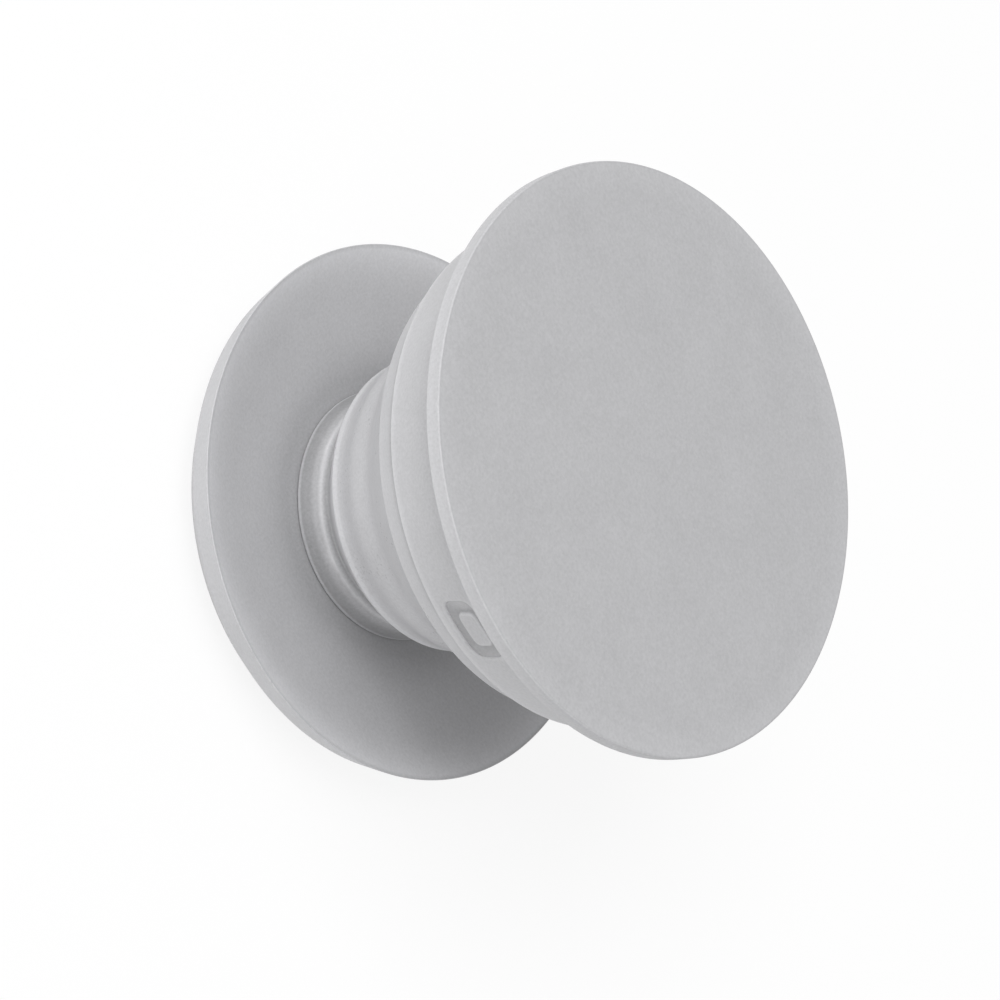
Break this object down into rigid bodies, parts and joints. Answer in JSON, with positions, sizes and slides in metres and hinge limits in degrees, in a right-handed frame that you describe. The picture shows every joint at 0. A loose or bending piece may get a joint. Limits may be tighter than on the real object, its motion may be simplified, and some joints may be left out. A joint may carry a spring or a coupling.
{
  "type": "collapsible phone grip",
  "caption": "Round collapsible phone grip: dished adhesive base, soft folding bellows neck and a flat front disc latched in a conical collar; pushes flat and turns on its base.",
  "frame": {"origin": "centre of the adhesive face", "axes": "+Z along the grip's axis, out of the phone; the latch windows face -Y and +Y"},
  "size_m": [0.0402, 0.0402, 0.0285],
  "materials": {
    "shell": "fine spark-eroded matte grey plastic",
    "soft": "smooth satin grey elastomer",
    "adhesive": "dull foam adhesive pad"
  },
  "bodies": {
    "base": {"adhesive_pad": "adhesive", "base_plate": "shell"},
    "neck": {"foot_plug": "shell", "bellows": "soft"},
    "top": {"collar": "shell", "top_disc": "shell"}
  },
  "joints": [
    {"name": "swivel", "type": "hinge", "parent": "base", "child": "neck", "pos_m": [0, 0, 0.0028], "axis": [0, 0, 1], "continuous": true},
    {"name": "collapse", "type": "slide", "parent": "neck", "child": "top", "axis": [0, 0, 1], "range_m": [-0.0148, 0], "deforming": ["bellows"]}
  ]
}
